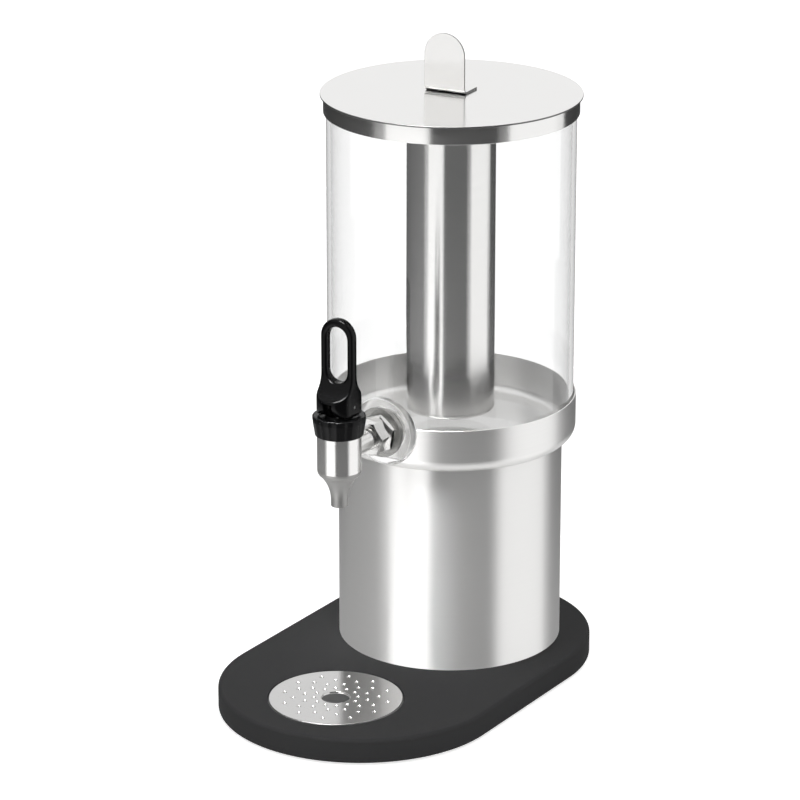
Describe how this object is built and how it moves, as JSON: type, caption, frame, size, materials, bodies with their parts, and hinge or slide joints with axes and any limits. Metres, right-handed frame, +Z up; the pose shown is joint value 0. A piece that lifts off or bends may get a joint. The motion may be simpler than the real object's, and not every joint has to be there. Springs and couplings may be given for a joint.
{
  "type": "drink dispenser",
  "caption": "Clear jar on a steel pedestal and black base board, with a lever tap over a drip plate and an ice tube hanging under its lift-off lid.",
  "frame": {"origin": "middle of the base board's footprint, on the ground under its feet", "axes": "+Z up; the tap and the drip plate are towards -Y; +X is to the right of someone who faces the tap"},
  "size_m": [0.2036, 0.3242, 0.4671],
  "materials": {
    "black_board": "satin black, fine sheen",
    "black_tray": "matte black",
    "black_gloss": "gloss black",
    "black_rubber": "matte",
    "silicone": "milky, translucent",
    "clear_plastic": "clear, polished",
    "brushed_steel": "fine brushed",
    "polished_steel": "polished",
    "screw_steel": "turned",
    "spring_steel": "drawn wire",
    "grey_casting": "cast, painted grey"
  },
  "bodies": {
    "base": {"base_plate": "black_board", "rubber_feet": "black_rubber", "foot_screws": "screw_steel", "pedestal_shell": "brushed_steel", "pedestal_foot": "grey_casting", "base_screws": "screw_steel", "pedestal_top": "grey_casting", "cup": "brushed_steel"},
    "drip_tray": {"drip_tray": "black_tray"},
    "drip_plate": {"drip_plate": "polished_steel"},
    "jar": {"jar": "clear_plastic", "outer_washer": "silicone", "lock_nut": "polished_steel", "tap_nut": "polished_steel", "tap_body": "polished_steel", "tap_shank": "polished_steel", "inner_washer": "silicone", "inner_nut": "polished_steel", "bonnet": "black_gloss", "bonnet_gasket": "silicone"},
    "stem": {"valve_stem": "polished_steel", "seat_cup": "silicone", "stem_spring": "spring_steel"},
    "lever": {"tap_lever": "black_gloss", "lever_pin": "screw_steel"},
    "lid": {"lid_disc": "brushed_steel", "lid_skirt": "brushed_steel", "lid_gasket": "silicone", "lid_handle": "brushed_steel", "tube_socket": "polished_steel", "socket_ring": "black_rubber"},
    "ice_tube": {"ice_tube": "brushed_steel", "ice_tube_cap": "brushed_steel"}
  },
  "joints": [
    {"name": "drip_tray_lift", "type": "slide", "parent": "base", "child": "drip_tray", "axis": [0, 0, 1], "range_m": [0, 0.03]},
    {"name": "drip_plate_lift", "type": "slide", "parent": "drip_tray", "child": "drip_plate", "axis": [0, 0, 1], "range_m": [0, 0.03]},
    {"name": "jar_lift", "type": "slide", "parent": "base", "child": "jar", "axis": [0, 0, 1], "range_m": [0, 0.05]},
    {"name": "stem_lift", "type": "slide", "parent": "jar", "child": "stem", "axis": [0, 0, 1], "range_m": [0, 0.00754], "stiffness_N_per_m": 900, "springref_m": -0.005, "deforming": ["stem_spring"]},
    {"name": "lever_tilt", "type": "hinge", "parent": "stem", "child": "lever", "pos_m": [0, -0.0877, 0.2359], "axis": [1, 0, 0], "range_deg": [0, 80]},
    {"name": "lid_lift", "type": "slide", "parent": "jar", "child": "lid", "axis": [0, 0, 1], "range_m": [0, 0.24]},
    {"name": "ice_tube_pull", "type": "slide", "parent": "lid", "child": "ice_tube", "axis": [0, 0, -1], "range_m": [0, 0.012]}
  ],
  "couplings": [
    {"joint": "lever_tilt", "follows": "stem_lift", "rad_per_m": 185.19}
  ]
}
